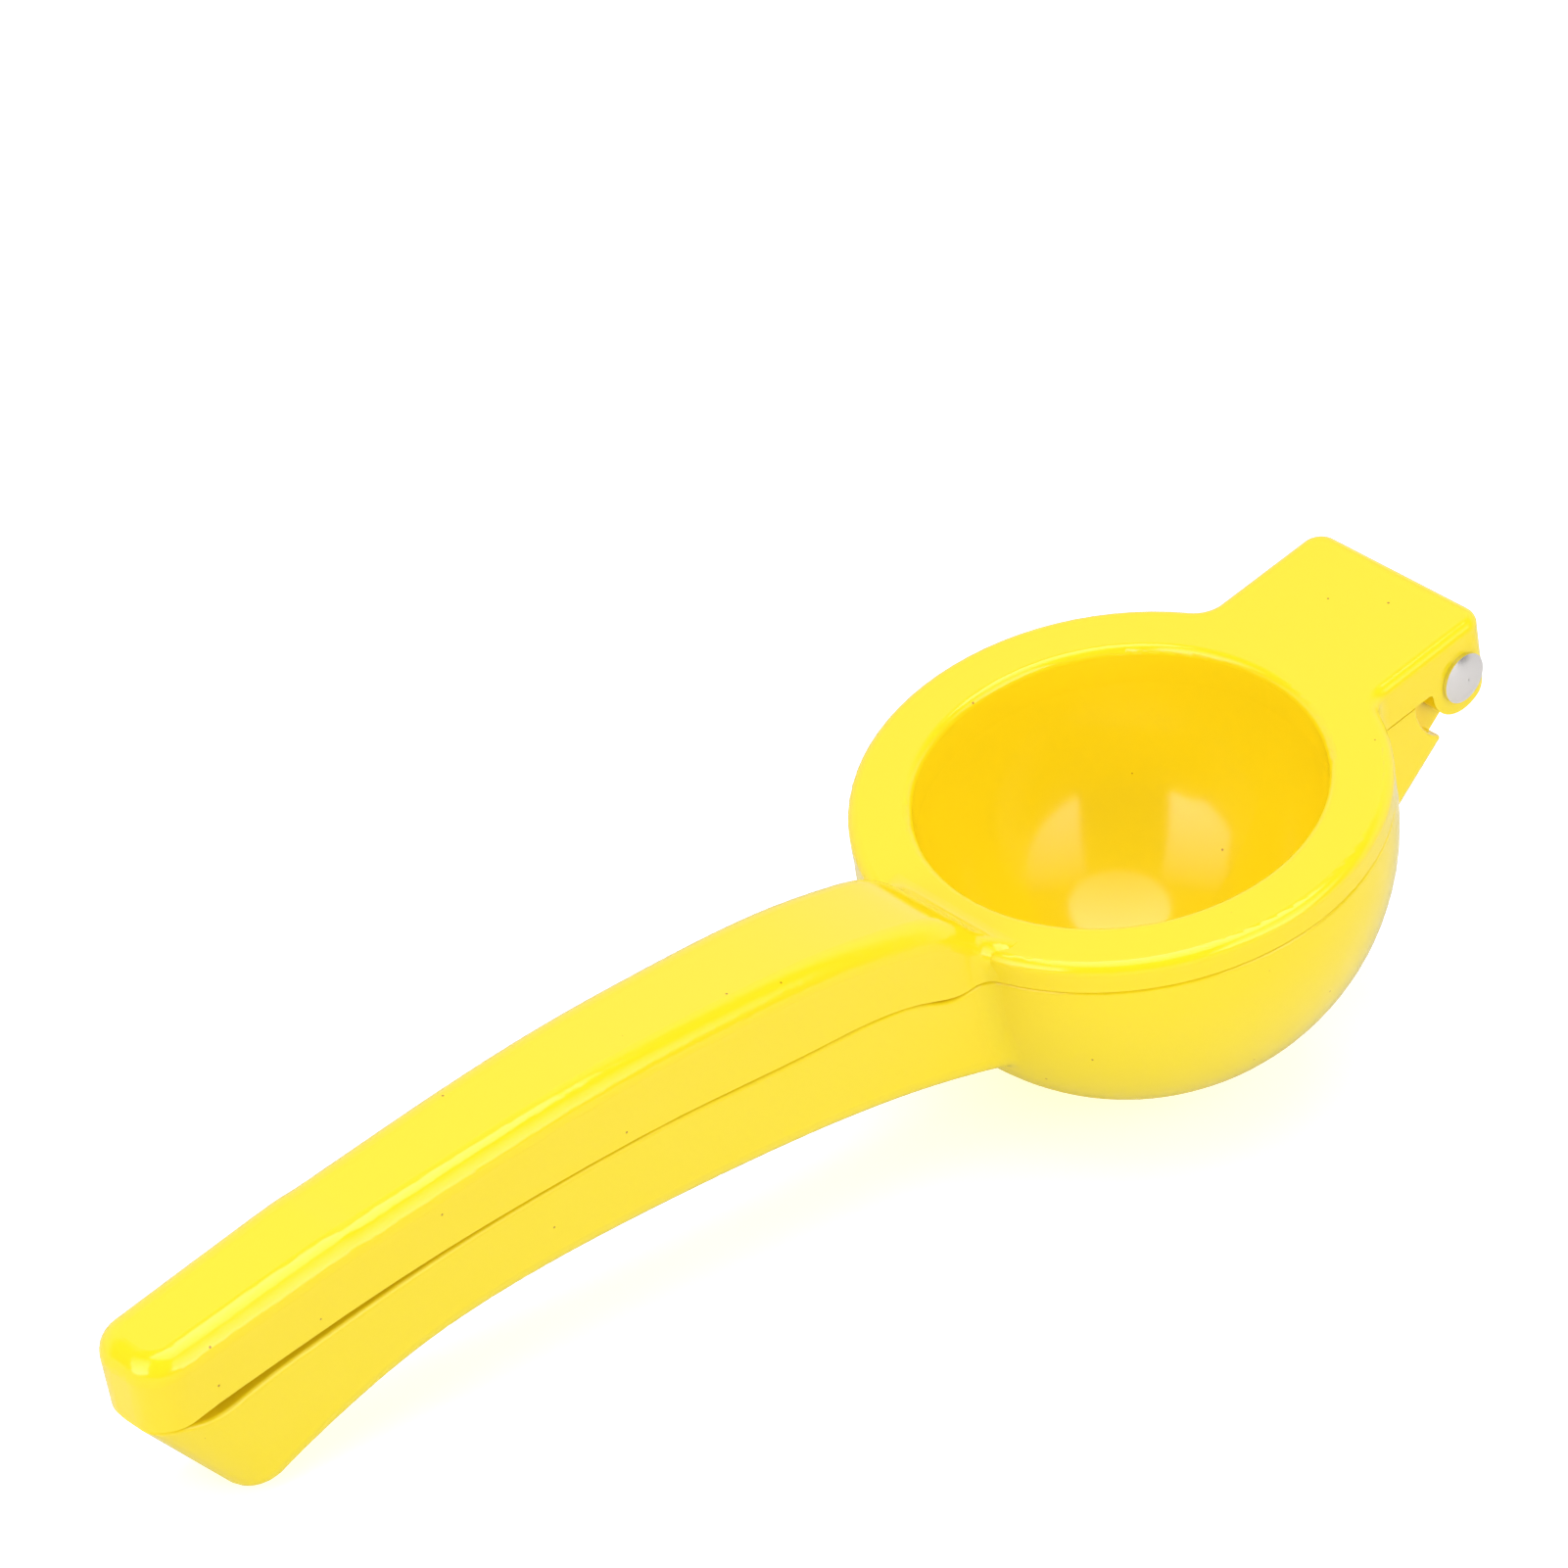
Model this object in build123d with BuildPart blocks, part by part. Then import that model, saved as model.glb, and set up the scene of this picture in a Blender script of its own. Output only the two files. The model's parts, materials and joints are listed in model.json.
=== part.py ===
from build123d import *
import os
from math import asin, atan2, cos, degrees, sin, sqrt, tan

# Hinged lemon squeezer: two enamelled castings that swing on one stainless rivet.
#
# Units are millimetres. While it is built, the frame stands at the centre of the bowl's rim: Z runs up
# the bowl's axis, X runs from the handles to the hinge, and the seam between the two castings is the
# plane z = 0. At the end every piece moves to the middle of the squeezer's underside.

# ---- driving dimensions -------------------------------------------------------------------------
# strainer bowl
bowl_radius = 36.0            # outer sphere
bowl_wall = 3.0
bowl_centre_z = -3.1          # the sphere's centre lies a little under the seam
rim_edge = 0.5                # rounding along the rim and the lower handle's top edges
hole_diameter = 5.0
hole_circle_radius = 12.25
hole_count = 6                # on the circle, with one more hole in the middle
hole_edge = 0.4

# press ring, hinge plate and cup
plate_top_z = 4.2             # flat top shared by the ring and the hinge plate
plate_overhang = 5.6          # of the hinge plate beyond the pin
plate_width = 30.4
plate_edge = 1.5              # rounding all round the flat top
plate_corner = 3.0            # plan rounding of the hinge plate's corners
plate_root_radius = 4.0       # plan rounding where the hinge plate leaves the ring
juice_gap = 2.8               # between the cup and the bowl
cup_wall = 2.7
cup_centre_z = -1.8
lip_edge = 1.2

# hinge
hinge_reach = 12.9            # from the bowl's outside to the pin
pin_radius = 2.25
pin_running_clearance = 0.05
head_radius = 3.6
head_rim = 0.6                # straight side of each rivet head
head_height = 1.3
skin = 2.0                    # thickness of the hinge plate over the barrel
cheek_width = 2.8             # side walls of the hinge plate, with the ears below them
cheek_bottom_z = -2.5
ear_radius = 5.5
ear_root_radius = 0.8
slot_offset = 0.9             # from the bowl's outside to the slot in the hinge plate
barrel_radius = 5.0
barrel_gap = 0.4              # between the barrel and the hinge plate
running_gap = 0.3             # between the two castings, at the seam and inside the hinge
tongue_top_z = 1.5
tongue_bottom_z = -3.9
rib_width = 5.2
rib_inset = 0.1               # from the hinge plate's sides to the ribs' outsides
rib_crest_offset = 1.0        # from the bowl's outside to a point of the ribs' crest, which runs
rib_crest_z = -16.4           # from there in a straight line to the barrel's underside
crest_sink = 0.4              # depth to which the crest's line runs into the barrel
rib_crest_edge = 1.8          # rounding of the crest's outer edge
web_edge = 0.8                # rounding of its inner edge, along the web that holds the barrel
rib_relief_radius = 8.7       # notch in the ribs' outer part, in which the ears turn
horn_offset = 4.6             # from the pin to the horns that the ribs' outer parts end in
horn_edge = 0.6
relief_edge = 0.4             # rounding of the notch's outer edge
arm_foot_radius = 1.5         # rounding where ribs and tongue meet the bowl and each other
barrel_foot_radius = 2.0      # hollow between the tongue's underside and the barrel

# handles
handle_root_width = 18.0
handle_tip_width = 13.2
handle_length = 134.0         # beyond the ring
root_blend = 3.0              # rounding where the handles leave ring and bowl
tip_corner = 5.2
back_edge = 3.2               # rounding of the upper handle's long edges
belly_edge = 3.0              # rounding of the lower handle's long edges
handle_wall = 2.8
channel_root_offset = 8.0     # from the ring to the hollow of each handle
channel_tip_offset = 11.0     # from the upper handle's hollow to its tip
lower_channel_cut = 4.0       # by which the lower handle's hollow is shorter
channel_corner = 2.5
handle_gap = 2.0              # between the handles, where it is widest
curl_length = 9.0             # over which the lower handle curls up to the upper one at the tips

# ---- derived sizes ------------------------------------------------------------------------------
ring_bottom_z = running_gap / 2
rim_z = -running_gap / 2
cup_radius = bowl_radius - bowl_wall - juice_gap - cup_wall
pin_x = bowl_radius + hinge_reach
pin_z = plate_top_z - skin - barrel_gap - barrel_radius
plate_end_x = pin_x + plate_overhang
slot_start_x = bowl_radius + slot_offset
rib_crest_x = bowl_radius + rib_crest_offset
horn_x = pin_x - horn_offset
handle_root_x = -bowl_radius
handle_tip_x = handle_root_x - handle_length
gap_widest_x = handle_tip_x + curl_length
wide = 100.0                  # more than the width of anything cut to shape with it
side_plane = Plane.XZ.offset(-wide / 2)
pin_centre = (pin_x, pin_z)
pin_axis = Axis((pin_x, 0, pin_z), (0, 1, 0))
taper = (handle_tip_width - handle_root_width) / (handle_tip_x - handle_root_x)
# half the width over which a root blend spreads, just short of where it runs into the ring
flare_y = (handle_root_width / 2 + root_blend) * bowl_radius / (bowl_radius + root_blend) - 0.1
half_plate = plate_width / 2
rib_outer_y = half_plate - rib_inset
cheek_inner_y = half_plate - cheek_width
barrel_half_width = cheek_inner_y - running_gap
rib_top_z = cheek_bottom_z - running_gap
arm_root_x = 2 / 3 * bowl_radius   # inside the bowl, where ribs and tongue begin
# the crest's slope, and the point of its line that is nearest to the pin
crest_reach = barrel_radius - crest_sink
pin_reach = sqrt((pin_x - rib_crest_x) ** 2 + (pin_z - rib_crest_z) ** 2)
crest_angle = atan2(pin_z - rib_crest_z, pin_x - rib_crest_x) - asin(crest_reach / pin_reach)
crest_end = (pin_x + crest_reach * sin(crest_angle), pin_z - crest_reach * cos(crest_angle))


def from_ring(*points):
    """Points (x, z) whose x is told from the ring's outside, less towards the tips."""
    return [(handle_root_x + x, z) for x, z in points]


def from_tip(*points):
    """Points (x, z) whose x is told from the upper handle's tip."""
    return [(handle_tip_x + x, z) for x, z in points]


# the parting line starts just past the place where the root blends end on the handles' sides
blend_end_x = -sqrt((bowl_radius + root_blend) ** 2 - (handle_root_width / 2 + root_blend) ** 2)
parting_start_x = round(blend_end_x, 1) - 0.1
# side view of the handles: the back, the parting line and the belly
back_line = from_ring((5.8, plate_top_z), (1, 8.0), (-3, 11.9), (-9, 14.9), (-19, 18.6), (-39, 23.6),
                      (-69, 28.6)) + from_tip((35, 31.1), (0, 32.3))
parting_line = [(parting_start_x, ring_bottom_z)] + from_ring((-9, 3.15), (-29, 8.95), (-49, 13.6), (-69, 17.2),
                         (-89, 19.8)) + from_tip((25, 21.2), (13, 21.6), (9, 21.7), (4.5, 21.6), (0, 21.5))
belly_line = from_ring((10, -21.5), (-9, -12.6), (-29, -5.8), (-49, -0.6), (-69, 3.7)) + from_tip(
    (51, 5.8), (39, 6.4), (26, 5.2), (11.6, 2.1))
back_root_x = back_line[0][0]
belly_root_x = belly_line[0][0]
channel_start_x = handle_root_x - channel_root_offset
channel_end_x = handle_tip_x + channel_tip_offset


def handle_width(x):
    return handle_root_width + taper * (x - handle_root_x)


def crest_at(x):
    """Point on the line of the ribs' crest."""
    return x, rib_crest_z + (x - rib_crest_x) * tan(crest_angle)


def gap_at(x):
    """Gap between the handles: it opens slowly from the ring, then fast, and closes in a curl at the tips."""
    if x < gap_widest_x:
        share = ((x - handle_tip_x) / (gap_widest_x - handle_tip_x)) ** 2
    else:
        share = ((x - parting_line[0][0]) / (gap_widest_x - parting_line[0][0])) ** 4
    return running_gap + (handle_gap - running_gap) * share


def handle_plan(inset, start_x, end_x):
    """Tapered plan outline of a handle, or of the channel inside it."""
    near = handle_width(start_x) / 2 - inset
    far = handle_width(end_x) / 2 - inset
    with BuildSketch() as outline:
        with BuildLine():
            Polyline((start_x, near), (end_x, far), (end_x, -far), (start_x, -near), close=True)
        make_face()
    return outline.sketch


# ---- upper handle -------------------------------------------------------------------------------
with BuildPart() as upper_handle:
    with BuildSketch(side_plane):
        with BuildLine():
            back = Spline(*back_line, tangents=[(-1, 0.12), (-1, 0.02)])
            foot = Spline(*parting_line[::-1], tangents=[(1, 0), (1, 0)])
            Line(back @ 1, foot @ 0)
            Polyline(foot @ 1, (back_root_x, ring_bottom_z), back @ 0)
        make_face()
    extrude(amount=wide)
    with BuildSketch(Plane.XY.offset(-wide / 2)) as upper_plan:
        Circle(bowl_radius)
        add(handle_plan(0, 0, handle_tip_x))
        fillet([v for v in upper_plan.vertices() if abs(v.X - handle_root_x) < root_blend], root_blend)
        with Locations((handle_tip_x / 2, 0)):
            Rectangle(-handle_tip_x, 2 * flare_y, mode=Mode.INTERSECT)
    extrude(amount=wide, mode=Mode.INTERSECT)
    fillet([e for e in upper_handle.edges() if e.center().X < handle_tip_x + 0.1
            and abs(e.center().Y) > 3], tip_corner)
    back_face = upper_handle.faces().sort_by_distance(Plane.XZ.from_local_coords(back @ 0.5))[0]
    fillet([e for e in back_face.edges() if e.center().X < back_root_x - 1
            and abs(abs(e.center().Y) - flare_y) > 0.1], back_edge)

with BuildPart() as upper_channel:
    with BuildSketch(side_plane):
        with BuildLine():
            ceiling = Spline(*[(x, z - handle_wall) for x, z in back_line[3:]])
            lowered = Spline(*[(x, z - handle_wall) for x, z in parting_line[::-1]])
            Line(ceiling @ 1, lowered @ 0)
            Line(lowered @ 1, ceiling @ 0)
        make_face()
    extrude(amount=wide)
    with BuildSketch(Plane.XY.offset(-wide / 2)) as channel_plan:
        add(handle_plan(handle_wall, channel_start_x, channel_end_x))
        fillet(channel_plan.vertices(), channel_corner)
    extrude(amount=wide, mode=Mode.INTERSECT)

# ---- lower handle -------------------------------------------------------------------------------
with BuildPart() as lower_handle:
    with BuildSketch(side_plane):
        with BuildLine():
            top = Spline(*[(x, z - gap_at(x)) for x, z in parting_line], tangents=[(-1, 0), (-1, 0)])
            belly = Spline(*belly_line, tangents=[(-1, 0.52), (-1, -0.28)])
            Line(top @ 1, belly @ 1)
            Polyline(top @ 0, (belly_root_x, rim_z), belly @ 0)
        make_face()
    extrude(amount=wide)
    with BuildSketch(Plane.XY.offset(-wide / 2)):
        add(handle_plan(0, 0, handle_tip_x - 1))
    extrude(amount=wide, mode=Mode.INTERSECT)
    fillet([e for e in lower_handle.edges() if e.center().X < belly_line[-1][0] - 2
            and abs(e.center().Y) > 3], tip_corner)
    belly_face = lower_handle.faces().sort_by_distance(Plane.XZ.from_local_coords(belly @ 0.5))[0]
    fillet([e for e in belly_face.edges() if e.center().X < belly_root_x - 1], belly_edge)

with BuildPart() as lower_channel:
    with BuildSketch(side_plane):
        with BuildLine():
            floor = Spline(*[(x, z + handle_wall) for x, z in belly_line[1:]])
            raised = Spline(*[(x, z + handle_wall) for x, z in parting_line[::-1]])
            Line(floor @ 1, raised @ 0)
            Line(raised @ 1, floor @ 0)
        make_face()
    extrude(amount=wide)
    with BuildSketch(Plane.XY.offset(-wide / 2)) as channel_plan:
        add(handle_plan(handle_wall, channel_start_x, channel_end_x + lower_channel_cut))
        fillet(channel_plan.vertices(), channel_corner)
    extrude(amount=wide, mode=Mode.INTERSECT)

# ---- hinge arm of the strainer ------------------------------------------------------------------
with BuildPart() as rib:
    # the web holds the barrel, and its crest runs into the barrel's underside
    with BuildSketch(Plane.XZ.offset(rib_outer_y - rib_width)):
        with BuildLine():
            Polyline((arm_root_x, rib_top_z), crest_at(arm_root_x), crest_end, pin_centre,
                     (horn_x, rib_top_z), close=True)
        make_face()
    extrude(amount=rib_width)
    # outside the web the rib ends in a horn, and leaves room for the ear
    with BuildSketch(Plane.XZ.offset(barrel_half_width)):
        with Locations(pin_centre):
            Circle(rib_relief_radius)
        with Locations((horn_x + wide / 2, pin_z)):
            Rectangle(wide, wide)
    extrude(amount=wide, mode=Mode.SUBTRACT)
    crest = rib.faces().sort_by(Axis.Z)[0]
    inner_edge = crest.edges().sort_by(Axis.Y)[-1]
    fillet(inner_edge, web_edge)
    outer_edge = rib.faces().sort_by(Axis.Z)[0].edges().sort_by(Axis.Y)[0]
    fillet(outer_edge, rib_crest_edge)
    outer_edges = [e for e in rib.edges().filter_by(Axis.Y) if e.center().Y < -barrel_half_width - 0.5]
    fillet([e for e in outer_edges if e.center().X > horn_x - 0.1
            and e.center().Z < crest_at(horn_x)[1] + 1], horn_edge)
    fillet(rib.edges().filter_by(GeomType.CIRCLE).sort_by(Axis.Y)[0], relief_edge)

with BuildPart() as arm:
    with BuildSketch(Plane.XZ.offset(-barrel_half_width)):
        with Locations(pin_centre):
            Circle(barrel_radius)
        with BuildLine():
            # the end of the plate's slot swings past this step
            step_radius = sqrt((pin_x - slot_start_x) ** 2 + (ring_bottom_z - pin_z) ** 2) - running_gap
            step_x = pin_x - sqrt(step_radius**2 - (tongue_top_z - pin_z) ** 2)
            Polyline((arm_root_x, tongue_bottom_z), (pin_x, tongue_bottom_z), (pin_x, tongue_top_z),
                     (step_x, tongue_top_z), (step_x, rim_z), (arm_root_x, rim_z), close=True)
        make_face()
    extrude(amount=2 * barrel_half_width)
    fillet([e for e in arm.edges().filter_by(Axis.Y) if e.center().Z < tongue_bottom_z + 0.1
            and pin_x - barrel_radius < e.center().X < pin_x], barrel_foot_radius)
    add(rib.part)
    mirror(rib.part)
    # its root ends in the middle of the bowl's wall
    with Locations((0, 0, bowl_centre_z)):
        Sphere(bowl_radius - bowl_wall / 2, mode=Mode.SUBTRACT)

# ---- strainer half ------------------------------------------------------------------------------
with BuildPart() as strainer_half:
    with BuildSketch(Plane.XZ):
        with Locations((0, bowl_centre_z)):
            Circle(bowl_radius)
        with Locations((wide / 2, rim_z - wide / 2)):
            Rectangle(wide, wide, mode=Mode.INTERSECT)
    revolve(axis=Axis.Z)
    add(lower_handle.part)
    sphere_face = strainer_half.faces().filter_by(GeomType.SPHERE)[0]
    fillet([e for e in sphere_face.edges() if abs(e.center().X - belly_root_x) < bowl_radius / 3
            and abs(e.center().Y) < handle_root_width and e.center().Z < rim_z - 1], root_blend)
    # inside of the bowl
    with BuildSketch(Plane.XZ):
        with Locations((0, bowl_centre_z)):
            Circle(bowl_radius - bowl_wall)
        with Locations((wide / 2, rim_z + 1 - wide / 2)):
            Rectangle(wide, wide, mode=Mode.INTERSECT)
    revolve(axis=Axis.Z, mode=Mode.SUBTRACT)
    # soft edge all along the rim and the handle's top
    rim_face = [f for f in strainer_half.faces().filter_by(Axis.Z) if abs(f.center().Z - rim_z) < 0.01][0]
    track_face = strainer_half.faces().sort_by_distance(Plane.XZ.from_local_coords(top @ 0.5))[0]
    outline_edges = rim_face.outer_wire().edges() + track_face.outer_wire().edges()
    fillet([e for e in outline_edges if abs(e.center().X - parting_line[0][0]) > 0.01], rim_edge)
    fillet([e for e in strainer_half.edges().filter_by(GeomType.CIRCLE)
            if abs(e.center().Z - rim_z) < 0.01 and e.radius < bowl_radius - 2], rim_edge)
    add(arm.part)
    # blends between the bowl, the ribs and the tongue
    foot_edges = [e for e in strainer_half.edges().filter_by(GeomType.LINE, reverse=True)
                  if 0.65 * bowl_radius < e.center().X < slot_start_x
                  and crest_at(arm_root_x)[1] < e.center().Z < rib_top_z - 0.5
                  and 1 < abs(e.center().Y) < rib_outer_y + 0.5]
    foot_edges += [e for e in strainer_half.edges().filter_by(Axis.X)
                   if abs(e.center().Z - tongue_bottom_z) < 0.1 and e.center().X < pin_x - 2 * barrel_radius]
    fillet(foot_edges, arm_foot_radius)
    add(lower_channel.part, mode=Mode.SUBTRACT)
    with Locations((0, 0, -bowl_radius)):
        Cylinder(hole_diameter / 2, bowl_radius, mode=Mode.SUBTRACT)
        with PolarLocations(hole_circle_radius, hole_count, start_angle=180 / hole_count):
            Cylinder(hole_diameter / 2, bowl_radius, mode=Mode.SUBTRACT)
    # the holes' edges that juice drips from, all below the inner edges of the circle's holes
    inner_edge_z = bowl_centre_z - sqrt((bowl_radius - bowl_wall) ** 2 - hole_circle_radius**2)
    fillet([e for e in strainer_half.edges().filter_by(GeomType.LINE, reverse=True)
            if e.center().Z < inner_edge_z - 1 and e.length < 25], hole_edge)
    with Locations(Location((pin_x, 0, pin_z), (90, 0, 0))):
        Cylinder(pin_radius + pin_running_clearance, wide, mode=Mode.SUBTRACT)

# ---- press half ---------------------------------------------------------------------------------
with BuildPart() as press_half:
    with BuildSketch(Plane.XY.offset(pin_z - ear_radius)) as plate_plan:
        Circle(bowl_radius)
        with Locations((plate_end_x / 2, 0)):
            Rectangle(plate_end_x, plate_width)
        fillet([v for v in plate_plan.vertices() if 20 < v.X < bowl_radius], plate_root_radius)
        fillet([v for v in plate_plan.vertices() if v.X > plate_end_x - 1], plate_corner)
    extrude(amount=plate_top_z - pin_z + ear_radius)
    with BuildSketch(side_plane) as plate_side:
        with Locations((0, (plate_top_z + cheek_bottom_z) / 2)):
            Rectangle(2 * plate_end_x, plate_top_z - cheek_bottom_z)
        with Locations(pin_centre):
            Circle(ear_radius)
        fillet([v for v in plate_side.vertices() if 0 < v.X < pin_x and v.Y < 0], ear_root_radius)
    extrude(amount=wide, mode=Mode.INTERSECT)
    fillet(press_half.faces().sort_by(Axis.Z)[-1].edges(), plate_edge)
    # room for the bowl under the ring, and for the barrel between the cheeks
    with BuildSketch(Plane.XY.offset(ring_bottom_z)):
        Circle(bowl_radius + running_gap)
        with Locations((wide / 2, 0)):
            Rectangle(wide, 2 * cheek_inner_y)
    extrude(amount=-wide, mode=Mode.SUBTRACT)
    with BuildSketch(Plane.XY.offset(plate_top_z - skin)):
        with Locations((slot_start_x + wide / 2, 0)):
            Rectangle(wide, 2 * cheek_inner_y)
    extrude(amount=-wide, mode=Mode.SUBTRACT)
    # cup
    with BuildSketch(Plane.XZ):
        with Locations((0, cup_centre_z)):
            Circle(cup_radius + cup_wall)
        with Locations((wide / 2, ring_bottom_z + 1 - wide / 2)):
            Rectangle(wide, wide, mode=Mode.INTERSECT)
    revolve(axis=Axis.Z)
    add(upper_handle.part)
    with BuildSketch(Plane.XZ):
        with Locations((0, cup_centre_z)):
            Circle(cup_radius)
        with Locations((cup_radius / 2, cup_centre_z + wide / 4)):
            Rectangle(cup_radius, wide / 2)
        with Locations((wide / 2, 0)):
            Rectangle(wide, 2 * wide, mode=Mode.INTERSECT)
    revolve(axis=Axis.Z, mode=Mode.SUBTRACT)
    fillet([e for e in press_half.edges().filter_by(GeomType.CIRCLE)
            if abs(e.center().Z - plate_top_z) < 0.01 and abs(e.radius - cup_radius) < 0.01], lip_edge)
    add(upper_channel.part, mode=Mode.SUBTRACT)
    with Locations(Location((pin_x, 0, pin_z), (90, 0, 0))):
        Cylinder(pin_radius, wide, mode=Mode.SUBTRACT)

# ---- rivet --------------------------------------------------------------------------------------
with BuildPart() as hinge_pin:
    with BuildSketch(Plane((pin_x, 0, pin_z), x_dir=(0, 1, 0), z_dir=(1, 0, 0))) as pin_profile:
        with BuildLine():
            dome_start = half_plate + head_rim
            dome_end = half_plate + head_height
            dome_radius = (head_radius**2 + (dome_end - dome_start) ** 2) / (2 * (dome_end - dome_start))
            Polyline((0, 0), (0, pin_radius), (half_plate, pin_radius), (half_plate, head_radius),
                     (dome_start, head_radius))
            CenterArc((dome_end - dome_radius, 0), dome_radius, 0, degrees(asin(head_radius / dome_radius)))
            Line((dome_end, 0), (0, 0))
        make_face()
        mirror(about=Plane.YZ)
    revolve(axis=pin_axis)

# ---- placing and export -------------------------------------------------------------------------
foot_z = strainer_half.part.bounding_box().min.Z
home = Location((-(handle_tip_x + plate_end_x) / 2, 0, -foot_z))
strainer_half.part.move(home)
press_half.part.move(home)
hinge_pin.part.move(home)

strainer_half.part.label = "strainer_half"
press_half.part.label = "press_half"
hinge_pin.part.label = "hinge_pin"

os.makedirs("parts", exist_ok=True)
export_step(strainer_half.part, "parts/strainer_half.step")
export_step(press_half.part, "parts/press_half.step")
export_step(hinge_pin.part, "parts/hinge_pin.step")
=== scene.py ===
# %% [markdown]
# # A hinged lemon squeezer in yellow enamel
# The squeezer is two aluminium castings that swing on one rivet, and one coat of glossy yellow
# enamel runs over each casting. Its shapes are already settled in the solid model, so this lesson
# is about finish: how a thick, softly rounded enamel and a turned steel rivet catch the light of a
# small studio. The solid model comes in as a fixed frame, and everything below is placed from it,
# in metres.

# %% Load the solid model
import json
import math

import bpy
from mathutils import Matrix, Vector

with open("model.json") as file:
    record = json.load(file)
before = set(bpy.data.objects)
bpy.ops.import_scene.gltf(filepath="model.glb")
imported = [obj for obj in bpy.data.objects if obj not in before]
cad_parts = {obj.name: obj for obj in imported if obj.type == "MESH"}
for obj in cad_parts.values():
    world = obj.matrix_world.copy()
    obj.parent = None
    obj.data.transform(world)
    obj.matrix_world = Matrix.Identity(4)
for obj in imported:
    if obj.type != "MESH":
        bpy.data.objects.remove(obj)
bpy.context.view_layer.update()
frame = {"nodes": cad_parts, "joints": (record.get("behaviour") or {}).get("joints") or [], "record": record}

# %% [markdown]
# ## Real sizes
# Sizes are written in millimetres, because that is how such a tool is drawn. Both castings share
# the hinge's pin, so the bowl's centre and the camera's aim are measured from it.

# %% Sizes
MM = 0.001
bowl_radius = 36 * MM
pin = Vector(frame["joints"][0]["pos_m"])
bowl_from_pin = Vector((-48.9, 0, 0.1)) * MM
bowl_centre = pin + bowl_from_pin
print("pin axis at", pin, "and bowl centre at", bowl_centre)

# %% [markdown]
# ## Helpers for materials
# Colours are easiest to compare as the hex values of a paint chart, but shaders work in linear
# light, so one function turns one into the other. A second one adds a node, sets it up and links
# its inputs. A Mix node has an input A and an input B for each kind of data, all under the same
# two names, so its inputs and outputs are told by their place.

# %% Material helpers
WHITE = (1, 1, 1, 1)
MIX_SHARE, NUMBER_A, NUMBER_B, COLOUR_A, COLOUR_B = 0, 2, 3, 6, 7
MIXED_NUMBER, MIXED_COLOUR = 0, 2


def linear(colour):
    """An sRGB hex value, such as "#ffcc00", as a linear colour with full alpha."""
    parts = [int(colour[i:i + 2], 16) / 255 for i in (1, 3, 5)]
    return (*[c / 12.92 if c <= 0.04045 else ((c + 0.055) / 1.055) ** 2.4 for c in parts], 1)


def add_node(owner, kind, inputs, **settings):
    """Adds a node with its settings. Each input takes a value or the output of another node."""
    tree = owner.node_tree
    node = tree.nodes.new(kind)
    for name, value in settings.items():
        setattr(node, name, value)
    for name, value in inputs.items():
        if isinstance(value, bpy.types.NodeSocket):
            tree.links.new(value, node.inputs[name])
        else:
            node.inputs[name].default_value = value
    return node


def empty_material(name):
    """A new material, whose nodes are all still to be added."""
    material = bpy.data.materials.new(name)
    material.use_nodes = True
    material.node_tree.nodes.clear()
    return material


print("middle grey, #808080, is", round(linear("#808080")[0], 3), "in linear light")

# %% [markdown]
# ## Baked enamel
# The coat is sprayed on and melted in an oven. It flows a little before it sets, so every edge ends
# up soft, and the surface keeps the faint waviness that painters call orange peel. The pigment is
# opaque, so a plain dielectric is enough, without light under the surface. Its highlight is a
# soft-edged patch, which asks for a low roughness but not a mirror. A few grains of dust are caught
# in the coat: they come from the centres of scattered Voronoi cells, only where the centre is close
# enough to the surface.

# %% Enamel
enamel_yellow = linear("#fbe01c")
enamel_roughness = 0.14
enamel_ior = 1.52
peel_spacing = 1.6 * MM       # from one ripple to the next
peel_height = 0.05 * MM
peel_strength = 0.12
dust_brown = linear("#c08a10")
dust_spacing = 6.5 * MM
dust_radius = 0.18 * MM


def baked_enamel():
    material = empty_material("baked_yellow_enamel")
    place = add_node(material, "ShaderNodeTexCoord", {}).outputs["Object"]
    peel = add_node(material, "ShaderNodeTexNoise",
                    {"Vector": place, "Scale": 1 / peel_spacing, "Detail": 1.0, "Roughness": 0.4})
    bump = add_node(material, "ShaderNodeBump",
                    {"Height": peel.outputs[0], "Strength": peel_strength,
                     "Distance": peel_height})
    cells = add_node(material, "ShaderNodeTexVoronoi", {"Vector": place, "Scale": 1 / dust_spacing})
    grain = add_node(material, "ShaderNodeMath",
                     {0: cells.outputs["Distance"], 1: dust_radius / dust_spacing},
                     operation="LESS_THAN")
    colour = add_node(material, "ShaderNodeMix",
                      {MIX_SHARE: grain.outputs[0], COLOUR_A: enamel_yellow,
                       COLOUR_B: dust_brown}, data_type="RGBA")
    shader = add_node(material, "ShaderNodeBsdfPrincipled",
                      {"Base Color": colour.outputs[MIXED_COLOUR], "Roughness": enamel_roughness,
                       "IOR": enamel_ior, "Normal": bump.outputs[0]})
    add_node(material, "ShaderNodeOutputMaterial", {"Surface": shader.outputs[0]})
    return material


enamel = baked_enamel()
print("enamel with a ripple every", round(peel_spacing / MM, 2), "mm and grains of dust",
      round(2 * dust_radius / MM, 2), "mm across")

# %% [markdown]
# ## Turned stainless steel
# The rivet's heads are turned and left satin, and fine lines from the finishing belt cross them. An
# anisotropic shader would only stretch the highlight. Lines in the bump also break it up, as a belt
# does, so the bump is a noise squeezed into streaks: fine along the squeezer and drawn out up and
# down.

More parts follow.
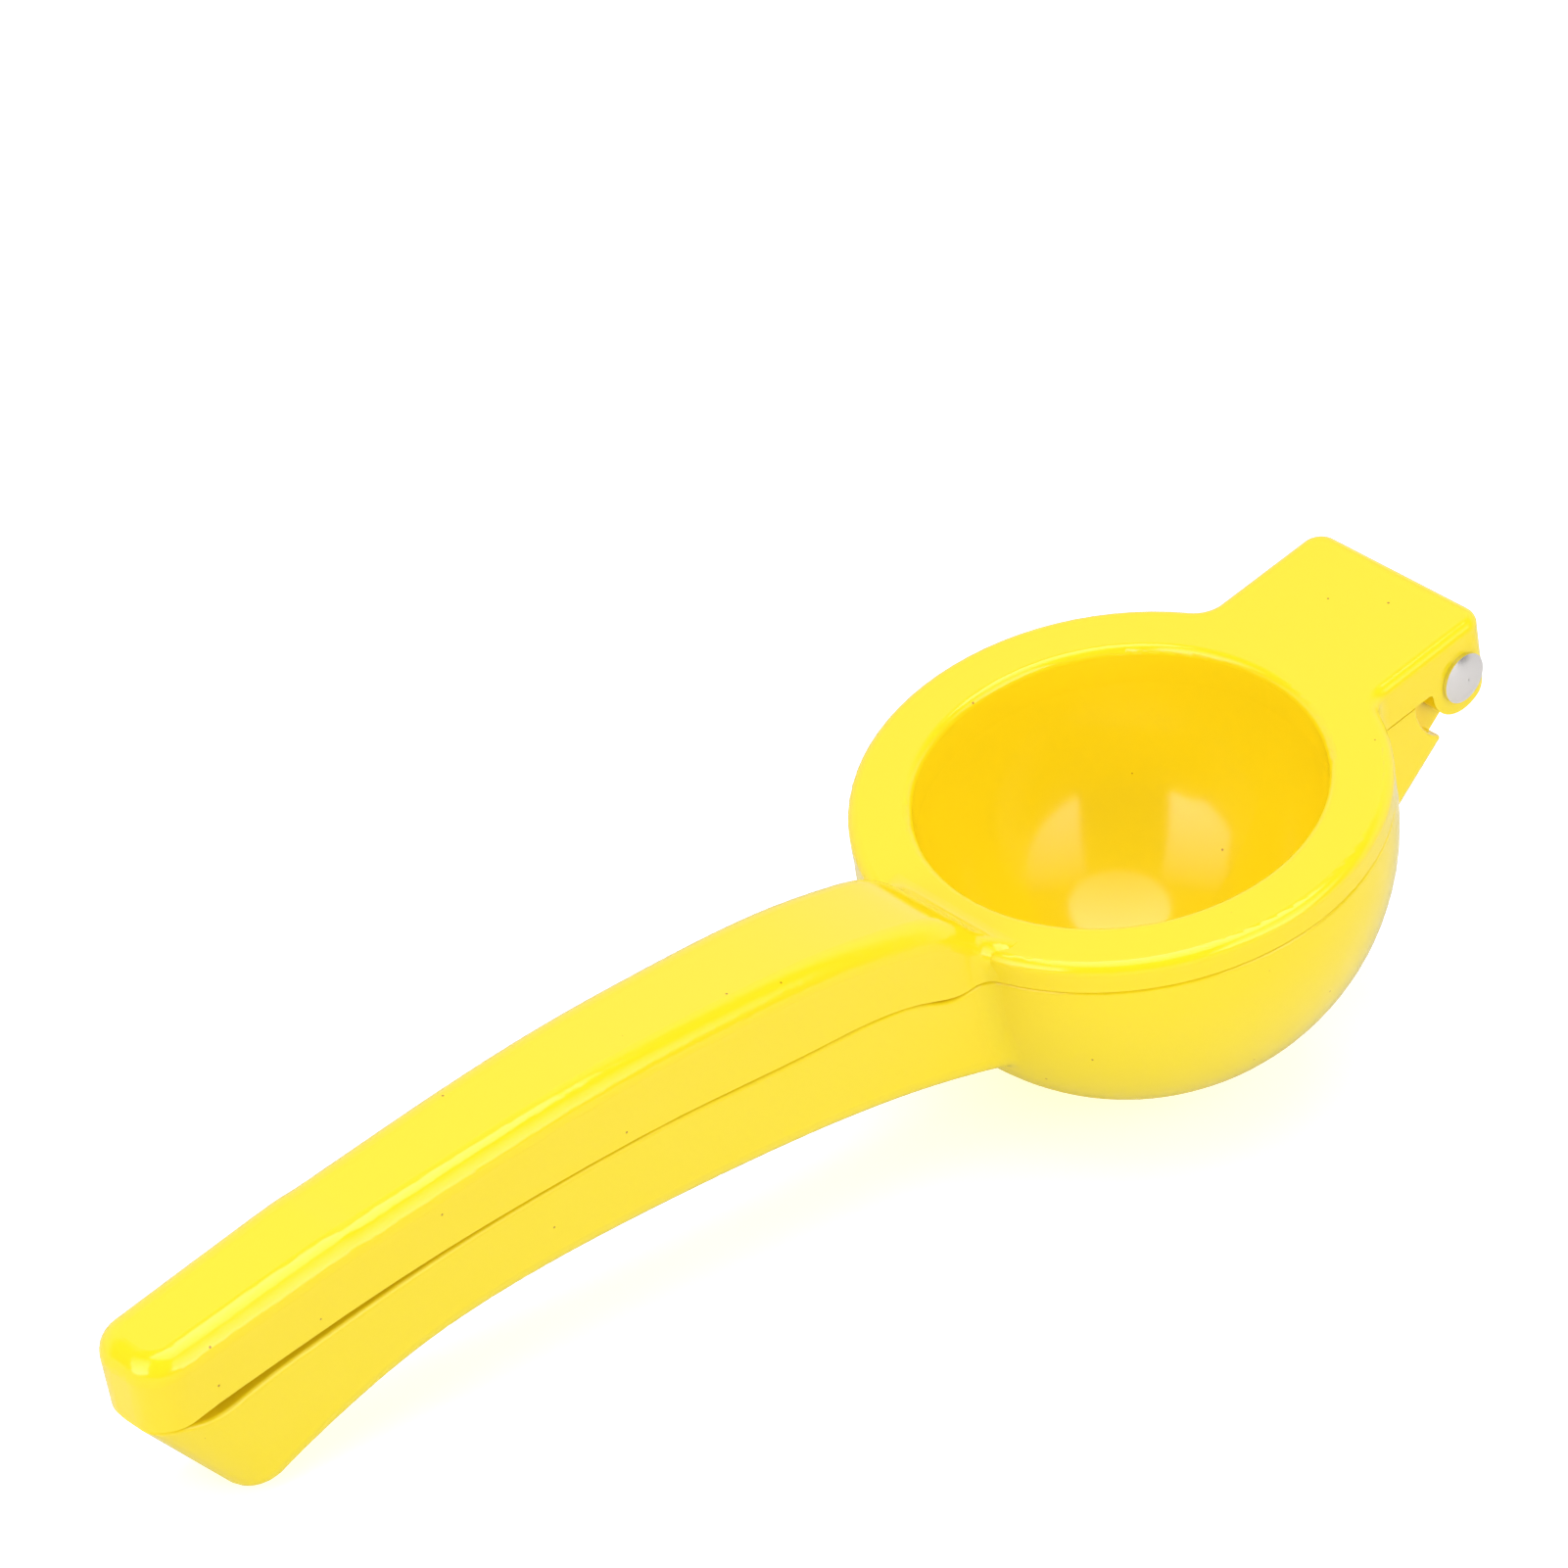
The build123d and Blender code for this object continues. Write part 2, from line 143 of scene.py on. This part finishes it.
# %% Rivet steel
steel_grey = linear("#e9e5e3")
steel_roughness = 0.25
belt_line = 0.18 * MM         # from one belt line to the next, coarse enough to show
belt_line_depth = 0.02 * MM
belt_line_strength = 0.25
drawn_out = 0.06              # the pattern's scale up and down, as a share of its scale along


def satin_stainless():
    material = empty_material("satin_stainless_steel")
    place = add_node(material, "ShaderNodeTexCoord", {}).outputs["Object"]
    streaks = add_node(material, "ShaderNodeMapping",
                       {"Vector": place,
                        "Scale": (1 / belt_line, 1 / belt_line, drawn_out / belt_line)})
    lines = add_node(material, "ShaderNodeTexNoise",
                     {"Vector": streaks.outputs[0], "Scale": 1.0, "Detail": 2.0})
    bump = add_node(material, "ShaderNodeBump",
                    {"Height": lines.outputs[0], "Strength": belt_line_strength,
                     "Distance": belt_line_depth})
    shader = add_node(material, "ShaderNodeBsdfPrincipled",
                      {"Base Color": steel_grey, "Metallic": 1.0, "Roughness": steel_roughness,
                       "Normal": bump.outputs[0]})
    add_node(material, "ShaderNodeOutputMaterial", {"Surface": shader.outputs[0]})
    return material


steel = satin_stainless()
print("steel with a belt line every", round(belt_line / MM, 2), "mm")

# %% [markdown]
# ## Each solid gets its finish
# The solids' own shapes stay, and only their material slots change. The record that comes with the
# frame names each solid's finish, so one loop serves the castings and the rivet.

# %% Give each solid its finish
finishes = {"enamel": enamel, "rivet_steel": steel}
for part in frame["record"]["subparts"]:
    solid = frame["nodes"][part["node"]]
    for slot in solid.material_slots:
        slot.material = finishes[part["material_slot"]]
    print(part["node"], "is finished in", finishes[part["material_slot"]].name)

# %% [markdown]
# ## How the squeezer rests
# A closed squeezer doesn't stand on its bowl alone. It leans until the lower handle's heel touches
# the table too. The squeezer stays in its own upright frame here, so the table leans instead. Seen
# along the pin, a table that touches the bowl and just meets a point of the handle makes an angle
# that the point's distance and height give, and the smallest one over all points is the real one.

# %% Lean of the table
handle_from = 2 * bowl_radius   # from the bowl's axis, past which there is only handle


def resting_lean():
    """Angle between the squeezer's own level and a table that touches its bowl and its heel."""
    lean = math.pi / 2
    for vertex in frame["nodes"]["strainer_half"].data.vertices:
        away = bowl_centre.x - vertex.co.x
        height = vertex.co.z - bowl_centre.z
        reach = math.hypot(away, height)
        if away > handle_from:
            lean = min(lean, math.atan2(height, away) + math.asin(bowl_radius / reach))
    return lean


lean = resting_lean()
table_up = Vector((math.sin(lean), 0, math.cos(lean)))
print("the table leans", round(math.degrees(lean), 2), "degrees")

# %% [markdown]
# ## White paper
# The table is covered in white paper that keeps a soft shadow near the squeezer and fades to plain
# white further out. That white is only for the camera: it adds no light to the squeezer. Seen from
# below, the paper is clear, so the squeezer's underside can be looked at. It lets scattered light
# through as well, because the light that a white table throws up onto the squeezer comes from the
# lower half of the room instead, and so it is there in views from below too.

# %% Paper
paper_grey = (0.78, 0.78, 0.78, 1)
white_from, white_to = 0.12, 0.42   # metres from the bowl over which the paper fades to white
glow_near, glow_far = 0.55, 1.0     # a strength of 1 is plain white


def table_paper():
    material = empty_material("white_paper")
    path = add_node(material, "ShaderNodeLightPath", {})
    place = add_node(material, "ShaderNodeTexCoord", {}).outputs["Object"]
    away = add_node(material, "ShaderNodeVectorMath", {0: place}, operation="LENGTH")
    glow = add_node(material, "ShaderNodeMapRange",
                    {"Value": away.outputs["Value"], "From Min": white_from, "From Max": white_to,
                     "To Min": glow_near, "To Max": glow_far})
    seen = add_node(material, "ShaderNodeMath",
                    {0: glow.outputs[0], 1: path.outputs["Is Camera Ray"]}, operation="MULTIPLY")
    light = add_node(material, "ShaderNodeEmission", {"Color": WHITE, "Strength": seen.outputs[0]})
    paper = add_node(material, "ShaderNodeBsdfDiffuse", {"Color": paper_grey})
    both = add_node(material, "ShaderNodeAddShader", {0: paper.outputs[0], 1: light.outputs[0]})
    side = add_node(material, "ShaderNodeNewGeometry", {})
    clear = add_node(material, "ShaderNodeBsdfTransparent", {})
    passing = add_node(material, "ShaderNodeMath",
                       {0: side.outputs["Backfacing"], 1: path.outputs["Is Diffuse Ray"]},
                       operation="MAXIMUM")
    shader = add_node(material, "ShaderNodeMixShader",
                      {0: passing.outputs[0], 1: both.outputs[0], 2: clear.outputs[0]})
    add_node(material, "ShaderNodeOutputMaterial", {"Surface": shader.outputs[0]})
    return material


paper = table_paper()
print("the paper is plain white from", white_to, "metres from the bowl")

# %% [markdown]
# ## The table
# One flat square is enough for the table, because nothing of it shows but its paper. It touches the
# bowl and turns about the hinge's direction by the lean. The stage isn't part of the squeezer.

# %% Table
table_half = 1.2              # metres from the bowl to the table's edge
square = ((-1, -1), (1, -1), (1, 1), (-1, 1))
corners = [(x * table_half, y * table_half, 0) for x, y in square]
table_mesh = bpy.data.meshes.new("table")
table_mesh.from_pydata(corners, [], [(0, 1, 2, 3)])
table_mesh.materials.append(paper)
table = bpy.data.objects.new("table", table_mesh)
table.matrix_world = (Matrix.Translation(bowl_centre - table_up * bowl_radius)
                      @ Matrix.Rotation(lean, 4, "Y"))
bpy.context.scene.collection.objects.link(table)
print("the table touches the bowl at", table.location)

# %% [markdown]
# ## Camera
# The camera looks at the squeezer from over the handles with a long lens, which keeps the handles'
# taper true. Its place is worked out backwards: a point on the bowl's axis, just under the rim, is
# seen at a known place of the picture, from a known direction and distance, and the camera is
# turned a little about its own axis.

# %% Direction of view
picture = 1601                # pixels along each side
aim_from_pin = Vector((-48.9, 0, 2.5)) * MM
aim = pin + aim_from_pin
aim_seen_at = Vector((1147.0, 829.2))
camera_azimuth = math.radians(-37.76)
camera_elevation = math.radians(40.18)
camera_turn = math.radians(-10.15)
camera_distance = 1156.3 * MM
focal_pixels = 9000.0

back = Vector((math.sin(camera_azimuth) * math.cos(camera_elevation),
               -math.cos(camera_azimuth) * math.cos(camera_elevation),
               math.sin(camera_elevation)))
level = Vector((math.cos(camera_azimuth), math.sin(camera_azimuth), 0))
upright = back.cross(level)
camera_right = level * math.cos(camera_turn) + upright * math.sin(camera_turn)
camera_up = upright * math.cos(camera_turn) - level * math.sin(camera_turn)
offset = (aim_seen_at - Vector((picture / 2, picture / 2))) / focal_pixels * camera_distance
print("the camera looks along", -back)

# %% Camera
lens = bpy.data.cameras.new("camera")
lens.sensor_width = 36        # millimetres, a full-frame sensor
lens.lens = focal_pixels / picture * lens.sensor_width
lens.clip_start = 0.01
camera = bpy.data.objects.new("camera", lens)
camera.matrix_world = Matrix.Translation(
    aim - camera_right * offset.x + camera_up * offset.y + back * camera_distance
) @ Matrix((camera_right, camera_up, back)).transposed().to_4x4()
bpy.context.scene.collection.objects.link(camera)
bpy.context.scene.camera = camera
print("camera at", camera.location, "with a lens of", round(lens.lens, 1), "mm")

# %% [markdown]
# ## Softboxes
# Three big softboxes stand round the squeezer: one on each side, and one overhead. In glossy enamel
# each shows as a soft patch, so their size and direction matter more than their strength. A softbox
# is placed by its direction from the bowl, told as a share of right, up and towards the viewer. No
# softbox is evenly bright: the ones at the sides are brightest along their lower edge and the one
# overhead along its upper edge, so each patch fades out to one end. The watts follow from width and
# height, so that a rectangle is as bright as it is told, as a mirror would show it. An ellipse has
# less area for the same watts, and shows 1.27 times as bright.

# %% Softboxes
softbox_distance = 0.95       # metres from the bowl


def softbox(name, shape, way, width, height, lower_edge, upper_edge):
    """A lamp in the direction way, with the brightness of its lower and its upper edge."""
    way = (camera_right * way[0] + camera_up * way[1] + back * way[2]).normalized()
    across = camera_up.cross(way).normalized()
    lamp = bpy.data.lights.new(name, "AREA")
    lamp.shape = shape
    lamp.size = width
    lamp.size_y = height
    lamp.energy = math.pi * width * height
    lamp.use_nodes = True
    lamp.node_tree.nodes.clear()
    spot = add_node(lamp, "ShaderNodeNewGeometry", {})
    spot_place = add_node(lamp, "ShaderNodeSeparateXYZ", {0: spot.outputs["Parametric"]})
    shade = add_node(lamp, "ShaderNodeMapRange",
                     {"Value": spot_place.outputs["Y"], "To Min": lower_edge,
                      "To Max": upper_edge})
    glow = add_node(lamp, "ShaderNodeEmission", {"Strength": shade.outputs[0]})
    add_node(lamp, "ShaderNodeOutputLight", {"Surface": glow.outputs[0]})
    box = bpy.data.objects.new(name, lamp)
    box.matrix_world = (Matrix.Translation(bowl_centre + way * softbox_distance)
                        @ Matrix((across, way.cross(across), way)).transposed().to_4x4())
    box.visible_camera = False
    bpy.context.scene.collection.objects.link(box)
    print(name, "gives", round(lamp.energy, 2), "watts")


softbox("softbox_right", "RECTANGLE", way=(0.70, 0.18, 0.69), width=0.78, height=0.98,
        lower_edge=3.7, upper_edge=0.1)
softbox("softbox_left", "RECTANGLE", way=(-0.71, 0.18, 0.68), width=0.64, height=0.98,
        lower_edge=4.2, upper_edge=0.1)
softbox("softbox_top", "ELLIPSE", way=(0.02, 0.80, 0.60), width=0.90, height=0.82,
        lower_edge=0.7, upper_edge=3.4)

# %% [markdown]
# ## The room around
# The camera sees plain white behind the squeezer. What the enamel and the rivet mirror is a room
# with a white wall behind the squeezer and a dark side, where the viewer stands, so the softboxes'
# patches stand out. Scattered light is more even: it comes from all round, with more from the wall,
# and from below at the level of a lit white table. The levels run into each other over a band of
# directions, so no hard edge shows in the enamel.

# %% Room
wall_strength, dark_side_strength = 1.0, 0.05   # as mirrored
room_light, wall_light = 0.29, 0.27             # scattered, from all round and more from the wall
table_light = 1.0                               # scattered, from below
wall_band = (-0.1, 0.15)      # where the wall ends, as the cosine to the viewer's direction
table_band = (-0.1, 0.1)      # where the table begins, as the cosine to straight up from it

room = bpy.data.worlds.new("studio_room")
room.use_nodes = True
room.node_tree.nodes.clear()
direction = add_node(room, "ShaderNodeTexCoord", {}).outputs["Generated"]
towards_viewer = add_node(room, "ShaderNodeVectorMath", {0: direction, 1: back},
                          operation="DOT_PRODUCT")
wall = add_node(room, "ShaderNodeMapRange",
                {"Value": towards_viewer.outputs["Value"],
                 "From Min": wall_band[0], "From Max": wall_band[1],
                 "To Min": wall_strength, "To Max": dark_side_strength})
scattered = add_node(room, "ShaderNodeMath", {0: wall.outputs[0], 1: wall_light, 2: room_light},
                     operation="MULTIPLY_ADD")
upwards = add_node(room, "ShaderNodeVectorMath", {0: direction, 1: table_up},
                   operation="DOT_PRODUCT")
with_table = add_node(room, "ShaderNodeMapRange",
                      {"Value": upwards.outputs["Value"],
                       "From Min": table_band[0], "From Max": table_band[1],
                       "To Min": table_light, "To Max": scattered.outputs[0]})
print("the room lights with", room_light, "from all round, and with", table_light, "from below")

# %% The room for each kind of ray
background_strength = 1.0     # as the camera sees it, which is plain white

path = add_node(room, "ShaderNodeLightPath", {})
mirrored = add_node(room, "ShaderNodeMath",
                    {0: path.outputs["Is Glossy Ray"], 1: path.outputs["Is Transmission Ray"]},
                    operation="MAXIMUM")
lit = add_node(room, "ShaderNodeMix",
               {MIX_SHARE: mirrored.outputs[0], NUMBER_A: with_table.outputs[0],
                NUMBER_B: wall.outputs[0]})
strength = add_node(room, "ShaderNodeMix",
                    {MIX_SHARE: path.outputs["Is Camera Ray"],
                     NUMBER_A: lit.outputs[MIXED_NUMBER], NUMBER_B: background_strength})
surround = add_node(room, "ShaderNodeBackground",
                    {"Color": WHITE, "Strength": strength.outputs[MIXED_NUMBER]})
add_node(room, "ShaderNodeOutputWorld", {"Surface": surround.outputs[0]})
bpy.context.scene.world = room
bpy.context.scene.view_settings.view_transform = "Standard"
print("the room has", len(room.node_tree.nodes), "nodes")
